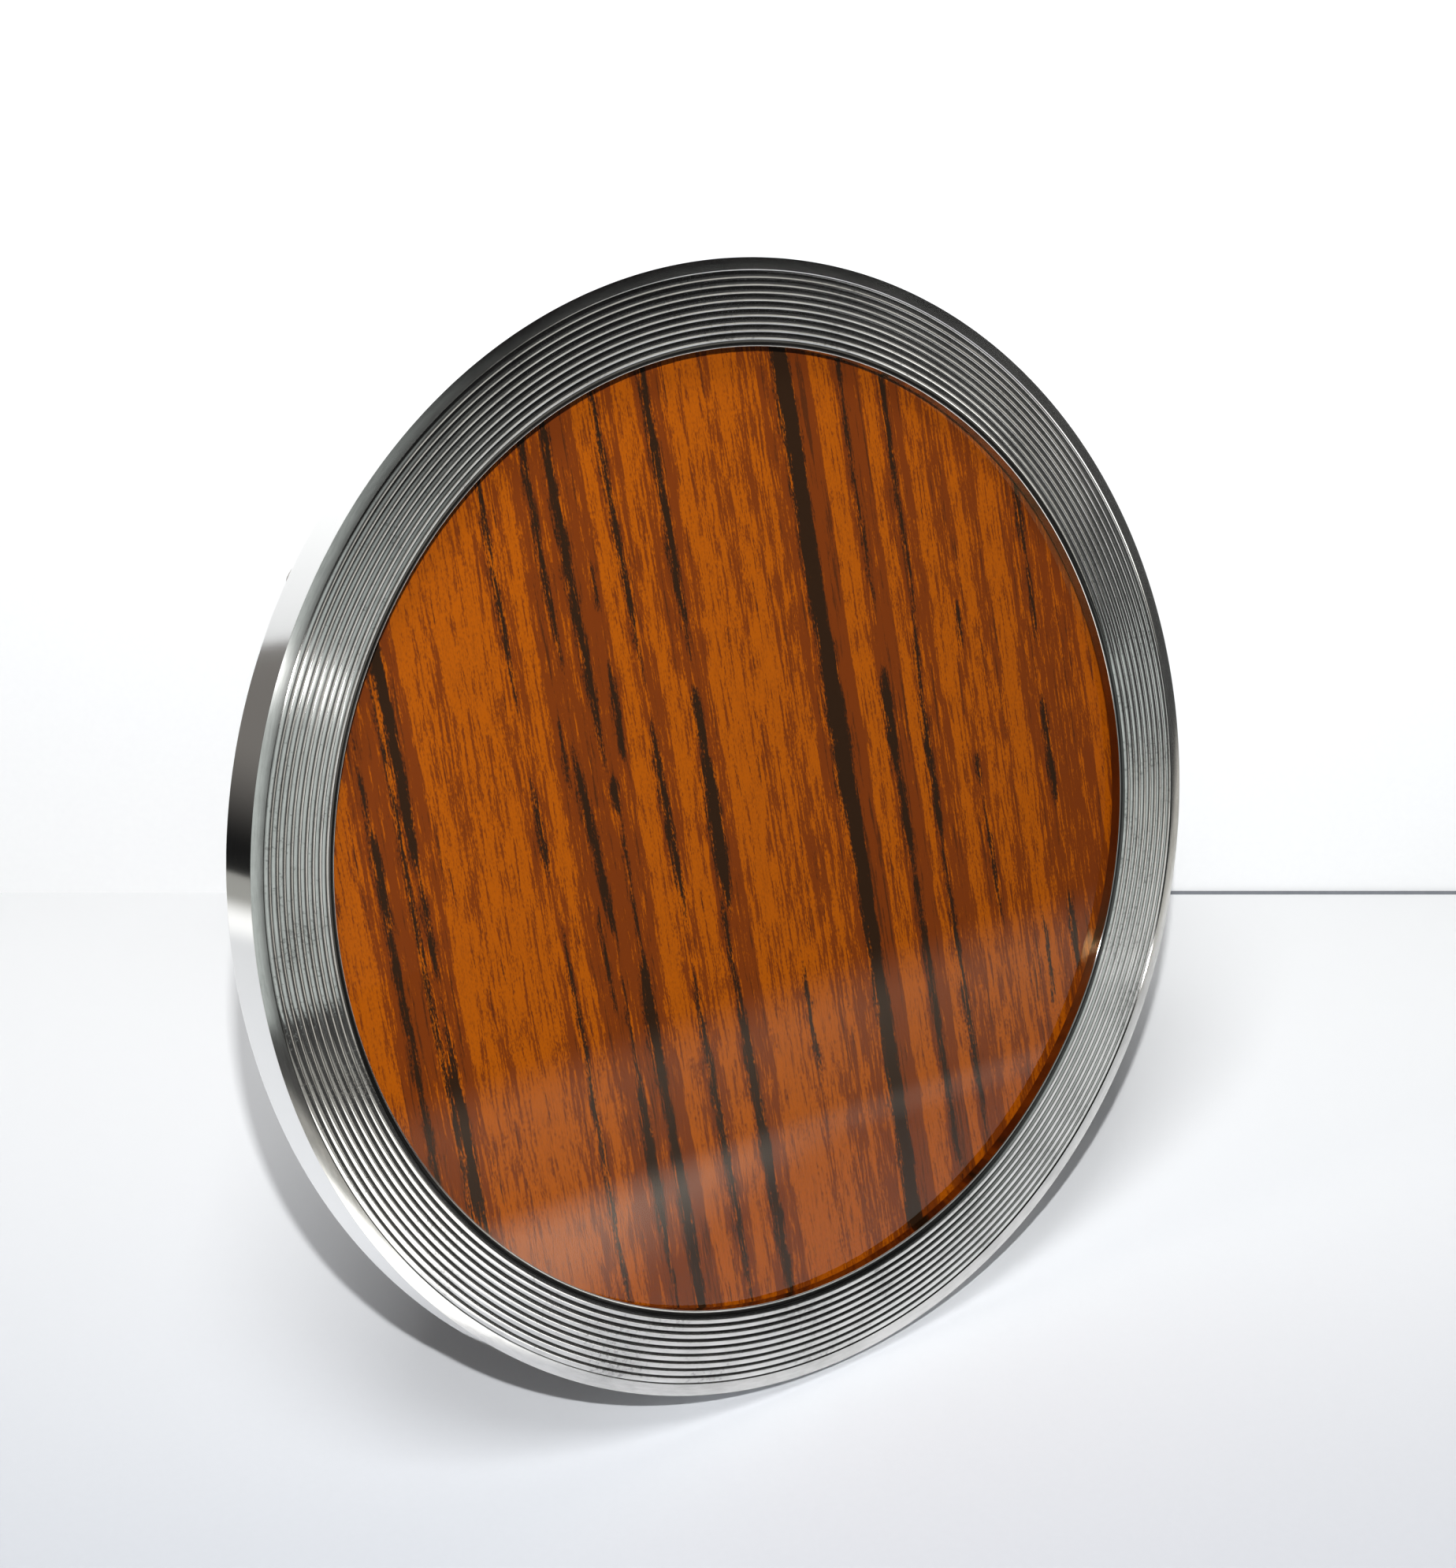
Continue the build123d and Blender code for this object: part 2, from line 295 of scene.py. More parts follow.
@dataclass(frozen=True)
class GrainNoise:
    """Noise drawn out along the grain, with its cells for each millimetre; the layer picks its pattern."""

    across: float
    along: float
    layer: float
    detail: float
    roughness: float = 0.5

    def field(self, graph: Graph, x: Wire, y: Wire) -> Wire:
        """The noise at a point of the print, evenly above and below 0."""
        place = graph.join(x * self.across, y * self.along, self.layer)
        return graph.noise(place, 1.0, self.detail, self.roughness) - 0.5


@dataclass(frozen=True)
class Fade:
    """A smooth change along a direction of the row frame, from one distance to another, in metres."""

    direction: Vector
    start: float
    end: float

    def share(self, graph: Graph) -> Wire:
        """Follows the change over a surface.

        Args:
            graph: The material's graph.

        Returns:
            How far the change has gone at the point on the surface, from 0 to 1.
        """
        sockets = {0: graph.object_place(), 1: self.direction}
        distance = graph.wire("ShaderNodeVectorMath", {"operation": "DOT_PRODUCT"}, sockets, "Value")
        return distance.ease(self.start, self.end)


@dataclass(frozen=True)
class Lean:
    """How the ring stands: the centre of its face and the way that it looks."""

    centre: Vector
    normal: Vector

    @classmethod
    def from_joints(cls, joints: Iterable[dict], depth: float) -> Lean:
        """Finds the ring from the swivels of the turn buttons on its back.

        Args:
            joints: The frame's joints.
            depth: The ring's depth from its face to its back, in metres.

        Returns:
            The ring's place.
        """
        swivels = [joint for joint in joints if joint["name"].endswith("_swivel")]
        back = sum((Vector(joint["pos_m"]) for joint in swivels), Vector()) / len(swivels)
        normal = Vector(swivels[0]["axis"]).normalized()
        return cls(back + normal * depth, normal)

    def matrix(self) -> Matrix:
        """Turns the ring's own axes, X across, Y up and Z out of the face, into the row frame.

        Returns:
            The matrix, in metres.
        """
        across = Vector((1.0, 0.0, 0.0))
        up = self.normal.cross(across)
        turn = Matrix((across, up, self.normal)).transposed()
        return Matrix.Translation(self.centre) @ turn.to_4x4()

    def place(self, graph: Graph) -> Wire:
        """Finds the point on the surface in the ring's own axes.

        Args:
            graph: The graph of a material on a piece that stands in the row frame.

        Returns:
            The point, in millimetres.
        """
        back = self.matrix().inverted()
        sockets = {
            "Vector": graph.object_place(),
            "Location": tuple(back.translation / MM),
            "Rotation": tuple(back.to_euler()),
            "Scale": (1 / MM, 1 / MM, 1 / MM),
        }
        return graph.wire("ShaderNodeMapping", {"vector_type": "POINT"}, sockets)


@dataclass(frozen=True)
class RingSizes:
    """Sizes of the turned ring, in millimetres, with heights from the crest of its face."""

    radius: float = 75.0
    wall: float = 6.8
    lip_overlap: float = 4.6
    lip_thickness: float = 2.0
    lip_width: float = 0.25
    bevel_width: float = 0.55
    bevel_rise: float = 0.055
    face_crown: float = 0.16
    reed_count: int = 9
    reed_rise: float = 0.12
    outer_land: float = 1.7
    land_side: float = 0.15
    edge_drop: float = 0.16
    back_edge_radius: float = 0.5
    depth: float = 7.0

    @property
    def rebate(self) -> float:
        """Radius of the rebate behind the lip."""
        return self.radius - self.wall

    @property
    def sight(self) -> float:
        """Radius of the opening."""
        return self.rebate - self.lip_overlap

    @property
    def lip_end(self) -> float:
        """Radius where the lip's flat top ends and the bevel starts."""
        return self.sight + self.lip_width

    @property
    def first_groove(self) -> float:
        """Radius of the groove between the bevel and the reeds."""
        return self.lip_end + self.bevel_width

    @property
    def last_groove(self) -> float:
        """Radius of the groove beside the outer land."""
        return self.radius - self.outer_land

    @property
    def reed_width(self) -> float:
        """Width of one reed."""
        return (self.last_groove - self.first_groove) / self.reed_count

    @property
    def lip_top(self) -> float:
        """Height of the lip's flat top."""
        return -self.crown_drop(self.first_groove) - self.reed_rise - self.bevel_rise

    @property
    def face_low(self) -> float:
        """Height of the face's outer edge."""
        return -self.crown_drop(self.last_groove) - self.edge_drop

    def crown_drop(self, radius: float) -> float:
        """Says how far the gently domed face has fallen.

        Args:
            radius: Where on the face.

        Returns:
            The fall below the crest.
        """
        middle = (self.first_groove + self.last_groove) / 2
        share = (radius - middle) / (self.last_groove - middle)
        return self.face_crown * share * share


class RingZones(NamedTuple):
    """Masks of the ring's zones, each from 0 to 1."""

    face: Wire
    reeds: Wire
    bevel: Wire
    land: Wire
    groove: Wire
    wall: Wire


@dataclass(frozen=True)
class SilverPlate:
    """Worn silver plate: turned satin on the reeds, tarnished in the grooves, polished on the side band, and
    brass where the plating is worn off the lip's inner wall, darkened there as painted shade.

    Lengths and noise are in millimetres, and the pits' depth is in metres. A fade is the length over which a
    zone comes in, and a span holds the values between which a mask comes in. The groove's span is in reed
    widths from a crest, and the wall's is in lengths from the opening.
    """

    sizes: RingSizes
    polish: Colour = (0.94, 0.935, 0.92)
    bright: Colour = (0.80, 0.79, 0.765)
    dull: Colour = (0.36, 0.355, 0.34)
    tarnish: Colour = (0.045, 0.044, 0.041)
    # Worn plating showing brass on the lip's inner wall, kept dark as painted shade.
    worn_brass_and_shade: Colour = (0.30, 0.20, 0.10)
    reed_roughness: float = 0.065
    line_roughness: float = 0.16
    tarnish_roughness: float = 0.3
    land_roughness: float = 0.14
    band_roughness: float = 0.05
    wall_roughness: float = 0.15
    turning_marks: float = 1.0
    turning_angle: float = 0.25
    face_fade: float = 0.25
    reed_fade: float = 0.2
    bevel_lip_fade: float = 0.03
    bevel_groove_fade: float = 0.05
    groove_span: Span = (0.41, 0.49)
    wall_span: Span = (0.3, 0.1)
    smears: TurnedNoise = TurnedNoise(30.0, 3.0, 4.0, 0.6)
    lines: TurnedNoise = TurnedNoise(5.0, 22.0, 1.0, 0.5)
    patches: EvenNoise = EvenNoise(0.09, 5.0, 0.6)
    specks: EvenNoise = EvenNoise(1.6, 6.0, 0.7)
    line_span: Span = (0.50, 0.64)
    mottle_patches: float = 0.4
    mottle_span: Span = (0.53, 0.64)
    mottle_tarnish: float = 0.4
    dull_smears: float = 0.4
    dull_span: Span = (0.38, 0.68)
    dull_share: float = 0.4
    bevel_tarnish: float = 0.85
    pit_strength: float = 0.3
    pit_depth: float = 0.00002

    def zones(self, radius: Wire, height: Wire) -> RingZones:
        """Masks the ring's zones.

        Args:
            radius: A point's distance from the ring's axis.
            height: Its height above the crest of the face.

        Returns:
            The masks.
        """
        sizes = self.sizes
        first, last = sizes.first_groove, sizes.last_groove
        face = height.ease(sizes.face_low - self.face_fade, sizes.face_low)
        within_land = radius.ease(last + self.reed_fade, last)
        reeds = radius.ease(first - self.reed_fade, first) * within_land * face
        past_lip = radius.ease(sizes.lip_end - self.bevel_lip_fade, sizes.lip_end)
        bevel = past_lip * radius.ease(first + self.bevel_groove_fade, first)
        land = radius.ease(last, last + sizes.land_side) * face
        off_crest = abs(((radius - first) / sizes.reed_width).fraction() - 0.5)
        groove = off_crest.ease(*self.groove_span) * reeds
        wall_outer, wall_inner = self.wall_span
        wall = radius.ease(sizes.sight + wall_outer, sizes.sight + wall_inner) * (1 - face)
        return RingZones(face, reeds, bevel, land, groove, wall)

    def material(self) -> bpy.types.Material:
        """Builds the finish, for a piece whose own Z axis is the ring's axis.

        Returns:
            The finish.
        """
        graph, material = Graph.of_material("silver_plate")
        place = graph.scaled(graph.object_place(), 1 / MM)
        x, y, z = graph.split(place)
        radius = (x * x + y * y).root()
        zones = self.zones(radius, z)
        smears = self.smears.field(graph, x, y, radius)
        lines = self.lines.field(graph, x, y, radius).ease(*self.line_span)
        patches = self.patches.field(graph, place)
        specks = self.specks.field(graph, place)
        mottle = specks.mixed(patches, self.mottle_patches).ease(*self.mottle_span) * zones.reeds
        dull = patches.mixed(smears, self.dull_smears).ease(*self.dull_span) * zones.face
        dark = zones.groove.larger(mottle * self.mottle_tarnish)
        colour = graph.mix(dull * self.dull_share, self.bright, self.dull)
        colour = graph.mix(zones.bevel * self.bevel_tarnish, colour, self.tarnish)
        colour = graph.mix(zones.face, self.polish, colour)
        colour = graph.mix(dark, colour, self.tarnish)
        # The lip's inner wall: worn brass, darkened as painted shade.
        colour = graph.mix(zones.wall, colour, self.worn_brass_and_shade)
        plain_finish = self.band_roughness + zones.wall * (self.wall_roughness - self.band_roughness)
        reed_finish = self.reed_roughness + lines * (self.line_roughness - self.reed_roughness)
        reed_finish = reed_finish.larger(dark * self.tarnish_roughness)
        reed_finish = reed_finish.larger(zones.land * self.land_roughness)
        shader = graph.principled(
            Base_Color=colour,
            Metallic=1.0,
            Roughness=plain_finish * (1 - zones.face) + reed_finish * zones.face,
            Anisotropic=self.turning_marks,
            Anisotropic_Rotation=self.turning_angle,
            Normal=graph.bump(specks * dark, self.pit_strength, self.pit_depth),
        )
        graph.surface(shader)
        return material


@dataclass(frozen=True)
class ClearGlass:
    """Picture glass, whose front face mirrors."""

    index: float = 1.5
    sheen: Colour = (1.0, 0.97, 0.88)
    sheen_roughness: float = 0.02
    tint: Colour = (0.985, 0.99, 0.985)

    def material(self) -> bpy.types.Material:
        """Builds the finish.

        Returns:
            The finish.
        """
        graph, material = Graph.of_material("clear_glass")
        mirror_share = graph.wire("ShaderNodeFresnel", {}, {"IOR": self.index})
        sockets = {"Color": self.sheen, "Roughness": self.sheen_roughness}
        mirror = graph.wire("ShaderNodeBsdfGlossy", {}, sockets)
        share = mirror_share * (1 - graph.from_behind())
        graph.surface(graph.mix_shaders(share, graph.clear(self.tint), mirror))
        return material


@dataclass(frozen=True)
class Streak:
    """One black streak of the grain, in millimetres.

    It runs at a distance across from the disc's middle, from its top to its foot, and may drift to the side.
    """

    across: float
    top: float
    foot: float
    half_width: float
    drift: float = 0.0


@dataclass(frozen=True)
class Band:
    """One brown band of the grain, in millimetres: its ragged left side, crisp right side and cover."""

    left: float
    right: float
    cover: float


class Patterns(NamedTuple):
    """The patterns of the grain at a point, each above and below 0."""

    grain: Wire
    dashes: Wire
    strands: Wire
    stipple: Wire
    cover: Wire
    clouds: Wire


class Weights(NamedTuple):
    """How much of each pattern goes into an ink, in the order of the patterns."""

    grain: float = 0.0
    dashes: float = 0.0
    strands: float = 0.0
    stipple: float = 0.0
    cover: float = 0.0
    clouds: float = 0.0

    def added(self, patterns: Patterns) -> Wire:
        """The patterns added up by these weights."""
        terms = [pattern * weight for pattern, weight in zip(patterns, self) if weight]
        return sum(terms[1:], terms[0])


@dataclass(frozen=True)
class WoodgrainPrint:
    """Wood grain printed in flat inks: red brown and near black over orange.

    Lengths and noise are in millimetres. A span holds the values between which an ink comes in.
    """

    lean: Lean
    orange: Colour = (0.292, 0.064, 0.0015)
    brown: Colour = (0.128, 0.0250, 0.003)
    black: Colour = (0.0200, 0.009, 0.004)
    roughness: float = 0.6
    wander: GrainNoise = GrainNoise(0.10, 0.030, 4.0, 2.0)
    wander_width: float = 1.5
    grain: GrainNoise = GrainNoise(1.1, 0.075, 12.0, 3.0, 0.6)
    dashes: GrainNoise = GrainNoise(2.8, 0.22, 30.0, 3.0, 0.6)
    strands: GrainNoise = GrainNoise(1.9, 0.045, 50.0, 2.0)
    stipple: GrainNoise = GrainNoise(5.5, 2.0, 8.0, 1.0)
    clouds: GrainNoise = GrainNoise(0.16, 0.035, 16.0, 1.0)
    brown_weights: Weights = Weights(
        grain=0.7, dashes=0.8, strands=0.3, stipple=0.3, cover=0.34, clouds=0.22
    )
    brown_span: Span = (-0.09, 0.08)
    black_weights: Weights = Weights(grain=0.5, dashes=1.8, stipple=0.9)
    black_span: Span = (-0.24, 0.28)
    vein_weights: Weights = Weights(dashes=0.6, strands=1.0, stipple=0.2, cover=0.15)
    vein_span: Span = (0.14, 0.28)
    vein_share: float = 0.62
    fleck_span: Span = (-0.15, 0.35)
    fleck_share: float = 0.5
    left_slope: float = 0.6
    plain_cover: float = 0.24
    ragged_edge: float = 1.2
    crisp_edge: float = 0.35
    streaks: tuple[Streak, ...] = (
        Streak(-54.2, 26, -64, 0.42, 1.2),
        Streak(-54.4, 16, 1, 0.56),
        Streak(-50.4, 36, -60, 0.26, 1.0),
        Streak(-49.1, 46, 7, 0.72),
        Streak(-48.9, 9, -6, 0.34),
        Streak(-48.6, -9, -58, 0.40, 0.7),
        Streak(-49.2, -14, -41, 0.66),
        Streak(-30.8, 64, 26, 0.32, 0.5),
        Streak(-30.3, 15, 2, 0.34, 0.2),
        Streak(-29.6, -6, -60, 0.28, 0.6),
        Streak(-23.2, 66, 28, 0.40),
        Streak(-24.9, 22, 12, 0.18),
        Streak(-22.8, 18, -9, 0.52, 1.5),
        Streak(-24.1, -4, -18, 0.20),
        Streak(-22.3, -14, -62, 0.26),
        Streak(-22.4, -27, -53, 0.60),
        Streak(-19.6, 68, 14, 0.55, 0.4),
        Streak(-16.4, 40, 34, 0.22),
        Streak(-16.4, 27, 14, 0.42),
        Streak(-18.5, 12.5, 7, 0.55),
        Streak(-18.4, 8, -12, 0.22, -0.5),
        Streak(-18.5, -11, -34, 0.78),
        Streak(-18.3, -28, -66, 0.70),
        Streak(-11.7, 66, 25, 0.38, 0.6),
        Streak(-11.0, 18, -9, 0.46, 0.5),
        Streak(-10.8, -16, -64, 0.42, 0.4),
        Streak(-3.6, 70, 25, 0.52, 0.5),
        Streak(-3.6, 21, 11, 0.60),
        Streak(-3.7, 13, -10, 0.92),
        Streak(-4.8, -8, -22, 0.36),
        Streak(-4.3, -18, -68, 0.66, 0.5),
        Streak(6.4, -20, -36, 0.30),
        Streak(18.2, 78, 8, 1.15, 0.4),
        Streak(18.5, 28, -9, 1.25),
        Streak(18.9, 8, -30, 1.05),
        Streak(18.6, -14, -78, 1.05, -0.4),
        Streak(27.1, 66, 24, 0.28),
        Streak(27.2, 16, 0, 0.72),
        Streak(27.3, 2, -14, 0.52),
        Streak(27.4, -10, -64, 0.46, 0.4),
        Streak(34.2, 62, 22, 0.34, -0.3),
        Streak(33.4, 23, 10, 0.24, -0.7),
        Streak(32.9, 11, -12, 0.48),
        Streak(33.0, -10, -56, 0.36, 0.6),
        Streak(41.1, 21, 15, 0.24),
        Streak(41.0, 0, -5, 0.26),
        Streak(41.3, -7, -24, 0.24),
        Streak(54.2, 36, 25, 0.40),
        Streak(54.4, 25, 13, 0.26),
        Streak(54.0, 5, -12, 0.46),
        Streak(53.8, -24, -36, 0.46),
        Streak(48.6, -26, -40, 0.24),
    )
    bands: tuple[Band, ...] = (
        Band(-57.0, -51.0, 0.90),
        Band(-50.4, -46.2, 0.80),
        Band(-42.4, -40.4, 0.50),
        Band(-33.2, -28.6, 0.55),
        Band(-26.4, -15.4, 0.90),
        Band(-12.6, -8.9, 0.65),
        Band(-6.2, -0.9, 0.75),
        Band(4.6, 7.0, 0.50),
        Band(9.6, 12.6, 0.60),
        Band(13.6, 17.4, 0.72),
        Band(19.0, 22.3, 1.25),
        Band(26.0, 30.1, 1.05),
        Band(32.0, 37.0, 0.74),
        Band(38.8, 42.6, 0.58),
        Band(44.4, 47.4, 0.70),
        Band(50.6, 62.0, 0.76),
    )

    def black_depth(self, across: Wire, along: Wire) -> Wire:
        """Says how deep a point lies inside the black streaks, which thin out more slowly on their left.

        Args:
            across: Distance to the right of the disc's middle.
            along: Distance above the disc's middle.

        Returns:
            The depth, below 0 outside every streak.
        """
        depth = None
        for streak in self.streaks:
            middle = (streak.top + streak.foot) / 2
            reach = (streak.top - streak.foot) / 2
            share = (along - middle) / reach
            taper = share * share
            width = streak.half_width - taper * taper * streak.half_width
            away = across - streak.across
            if streak.drift:
                away = away + share * (streak.drift / 2)
            here = width - away.larger(away * -self.left_slope)
            depth = here if depth is None else depth.larger(here)
        return depth

    def brown_cover(self, across: Wire) -> Wire:
        """Says how much of the ground the brown bands cover.

        Args:
            across: Distance to the right of the disc's middle.

        Returns:
            The cover, with the plain cover between the bands.
        """
        cover = None
        for band in self.bands:
            past_left = across.ease(band.left - self.ragged_edge, band.left + self.ragged_edge)
            before_right = across.ease(band.right + self.crisp_edge, band.right - self.crisp_edge)
            here = past_left * before_right * (band.cover - self.plain_cover) + self.plain_cover
            cover = here if cover is None else cover.larger(here)
        return cover

    def material(self) -> bpy.types.Material:
        """Builds the finish.

        Returns:
            The finish.
        """
        graph, material = Graph.of_material("woodgrain_print")
        x, y, _ = graph.split(self.lean.place(graph))
        across = x + self.wander.field(graph, x, y) * self.wander_width
        patterns = Patterns(
            grain=self.grain.field(graph, x, y),
            dashes=self.dashes.field(graph, x, y),
            strands=self.strands.field(graph, x, y),
            stipple=self.stipple.field(graph, x, y),
            cover=self.brown_cover(across) - 0.5,
            clouds=self.clouds.field(graph, x, y),
        )
        flecks = (patterns.dashes + patterns.stipple).ease(*self.fleck_span)
        brown = self.brown_weights.added(patterns).ease(*self.brown_span)
        streaks = (self.black_depth(across, y) + self.black_weights.added(patterns)).ease(*self.black_span)
        veins = self.vein_weights.added(patterns).ease(*self.vein_span)
        colour = graph.mix(flecks * self.fleck_share, self.orange, self.brown)
        colour = graph.mix(brown, colour, self.brown)
        colour = graph.mix(streaks.larger(veins * self.vein_share), colour, self.black)
        graph.surface(graph.principled(Base_Color=colour, Roughness=self.roughness, Specular_IOR_Level=0.0))
        return material


@dataclass(frozen=True)
class Hardboard:
    """Pressed brown fibreboard with a faint sheen; noise and relief are in metres."""

    light: Colour = (0.20, 0.095, 0.042)
    dark: Colour = (0.085, 0.036, 0.015)
    clouds: EvenNoise = EvenNoise(60.0, 4.0, 0.6)
    fibres: EvenNoise = EvenNoise(1400.0, 5.0, 0.7)
    fibre_share: float = 0.55
    light_span: Span = (0.36, 0.62)
    roughness: float = 0.55
    fibre_roughness: float = 0.2
    relief_strength: float = 0.4
    relief_height: float = 0.0001

    def material(self) -> bpy.types.Material:
        """Builds the finish.

        Returns:
            The finish.
        """
        graph, material = Graph.of_material("hardboard")
        place = graph.object_place()
        clouds = self.clouds.field(graph, place)
        fibres = self.fibres.field(graph, place)
        light = clouds.mixed(fibres, self.fibre_share).ease(*self.light_span)
        shader = graph.principled(
            Base_Color=graph.mix(light, self.dark, self.light),
            Roughness=self.roughness + fibres * self.fibre_roughness,
            Normal=graph.bump(fibres, self.relief_strength, self.relief_height),
        )
        graph.surface(shader)
        return material


@dataclass(frozen=True)
class SatinMetal:
    """Plated or plain metal with a fine grain and some tarnish; noise and relief are in metres."""

    name: str
    bright: Colour
    tarnish: Colour
    roughness: float
    clouds: EvenNoise = EvenNoise(260.0, 5.0, 0.65)
    grain: EvenNoise = EvenNoise(3000.0, 3.0, 0.6)
    tarnish_span: Span = (0.5, 0.72)
    tarnish_share: float = 0.6
    cloud_roughness: float = 0.12
    grain_roughness: float = 0.06
    relief_strength: float = 0.2
    relief_height: float = 0.00003

    def material(self) -> bpy.types.Material:
        """Builds the finish.

        Returns:
            The finish.
        """
        graph, material = Graph.of_material(self.name)
        place = graph.object_place()
        clouds = self.clouds.field(graph, place)
        grain = self.grain.field(graph, place)
        tarnished = clouds.ease(*self.tarnish_span) * self.tarnish_share
        shader = graph.principled(
            Base_Color=graph.mix(tarnished, self.bright, self.tarnish),
            Metallic=1.0,
            Roughness=self.roughness + clouds * self.cloud_roughness + grain * self.grain_roughness,
            Normal=graph.bump(grain, self.relief_strength, self.relief_height),
        )
        graph.surface(shader)
        return material


@dataclass(frozen=True)
class PlainPaper:
    """Card or paper with a soft tooth.

    It may pale along a fade, which lifts painted shade off it. A sheet that holds light back throws less of
    it on, which keeps shadows deep, and a one-way sheet is clear when it is seen from its back.
    """

    name: str
    colour: Colour
    shade: Colour
    one_way: bool = False
    held_light: float = 0.0
    paler: Colour | None = None
    fade: Fade | None = None
    tooth: EvenNoise = EvenNoise(900.0, 4.0, 0.6)
    tooth_span: Span = (0.3, 0.7)
    roughness: float = 0.8

    def material(self) -> bpy.types.Material:
        """Builds the finish.

        Returns:
            The finish.
        """
        graph, material = Graph.of_material(self.name)
        tooth = self.tooth.field(graph, graph.object_place())
        colour = graph.mix(tooth.ease(*self.tooth_span), self.shade, self.colour)
        # Painted shade: the colour pales along the fade to the paler colour.
        if self.paler and self.fade:
            colour = graph.mix(self.fade.share(graph), colour, self.paler)
        if self.held_light:
            passed_on = graph.wire("ShaderNodeLightPath", {}, {}, "Is Diffuse Ray")
            colour = graph.mix(passed_on * self.held_light, colour, (0.0, 0.0, 0.0))
        shader = graph.principled(Base_Color=colour, Roughness=self.roughness)
        if self.one_way:
            shader = graph.mix_shaders(graph.from_behind(), shader, graph.clear())
        graph.surface(shader)
        return material


@dataclass(frozen=True)
class DarkCard:
    """A card for mirrors that glows with one dark tone, a painted reflection of dark surroundings, and comes
    in along a fade.
    """

    name: str
    tone: Colour
    fade: Fade

    def material(self) -> bpy.types.Material:
        """Builds the finish.

        Returns:
            The finish.
        """
        graph, material = Graph.of_material(self.name)
        # Painted reflection: the card glows with its tone instead of taking light.
        graph.surface(graph.mix_shaders(self.fade.share(graph), graph.clear(), graph.glow(self.tone)))
        return material


@dataclass(frozen=True)
class PaintedTableReflection:
    """A painted reflection of the table for mirrors, a sheet that glows: bright paper in front, pale round
    it, lit at one side, dark farther off.

    The spans are distances from the frame's foot, in metres.
    """

    foot: Vector
    front: Fade
    lit_side: Fade
    paper_span: Span = (0.24, 0.32)
    pale_span: Span = (0.51, 0.75)
    paper_colour: Colour = (2.40, 2.40, 2.36)
    near_colour: Colour = (0.34, 0.34, 0.32)
    lit_colour: Colour = (0.72, 0.70, 0.65)
    far_colour: Colour = (0.05, 0.05, 0.05)

    def material(self) -> bpy.types.Material:
        """Builds the finish, which is clear over the paper round the frame's foot.

        Returns:
            The finish.
        """
        graph, material = Graph.of_material("painted_table_reflection")
        sockets = {0: graph.object_place(), 1: self.foot}
        distance = graph.wire("ShaderNodeVectorMath", {"operation": "DISTANCE"}, sockets, "Value")
        beyond_paper = distance.ease(*self.paper_span)
        colour = graph.mix(self.lit_side.share(graph), self.near_colour, self.lit_colour)
        colour = graph.mix(distance.ease(*self.pale_span), colour, self.far_colour)
        # The glowing tones are painted reflection: the paper in front brighter than white, one side painted
        # as lit.
        colour = graph.mix(beyond_paper, self.paper_colour, colour)
        share = beyond_paper.larger(self.front.share(graph))
        graph.surface(graph.mix_shaders(share, graph.clear(), graph.glow(colour)))
        return material


def turned(
    name: str, section: Sequence[Point], around: int, lean: Lean, open_ends: bool
) -> bpy.types.Object:
    """Turns a section round the ring's axis.

    Args:
        name: Name of the piece.
        section: Points as radius and height, in millimetres.
        around: Number of steps round the axis.
        lean: Where the axis stands.
        open_ends: True for a solid disc, whose section has two ends that get flat faces.

    Returns:
        The piece, with the axis as its own Z axis.
    """
    count = len(section)
    vertices = []
    for step in range(around):
        across, up = cos(tau * step / around) * MM, sin(tau * step / around) * MM
        vertices += [(radius * across, radius * up, height * MM) for radius, height in section]
    faces = []
    for step in range(around):
        here, there = step * count, (step + 1) % around * count
        for index in range(count - 1 if open_ends else count):
            after = (index + 1) % count
            faces.append((here + index, there + index, there + after, here + after))
    if open_ends:
        faces.append(tuple(step * count for step in reversed(range(around))))
        faces.append(tuple(step * count + count - 1 for step in range(around)))
    mesh = bpy.data.meshes.new(name)
    mesh.from_pydata(vertices, [], faces)
    mesh.polygons.foreach_set("use_smooth", [True] * len(faces))
    mesh.set_sharp_from_angle(angle=SMOOTH_ANGLE)
    piece = bpy.data.objects.new(name, mesh)
    bpy.context.scene.collection.objects.link(piece)
    piece.matrix_world = lean.matrix()
    return piece


def quarter_round(centre: Point, radius: float, start: float, steps: int) -> list[Point]:
    """Follows a quarter circle clockwise up to, and not with, its end.

    Args:
        centre: The circle's centre.
        radius: The circle's radius.
        start: Angle of the first point, in radians.
        steps: Number of points.

    Returns:
        The points.
    """
    angles = [start - pi / 2 * index / steps for index in range(steps)]
    return [(centre[0] + radius * cos(angle), centre[1] + radius * sin(angle)) for angle in angles]


def dress(node: bpy.types.Object, material: bpy.types.Material) -> bpy.types.Object:
    """Gives a solid its finish and crisp edges.

    Args:
        node: The solid's object.
        material: The finish.

    Returns:
        The object.
    """
    node.data.materials.clear()
    node.data.materials.append(material)
    split = node.modifiers.new("crisp_edges", "EDGE_SPLIT")
    split.split_angle = CRISP_ANGLE
    return node


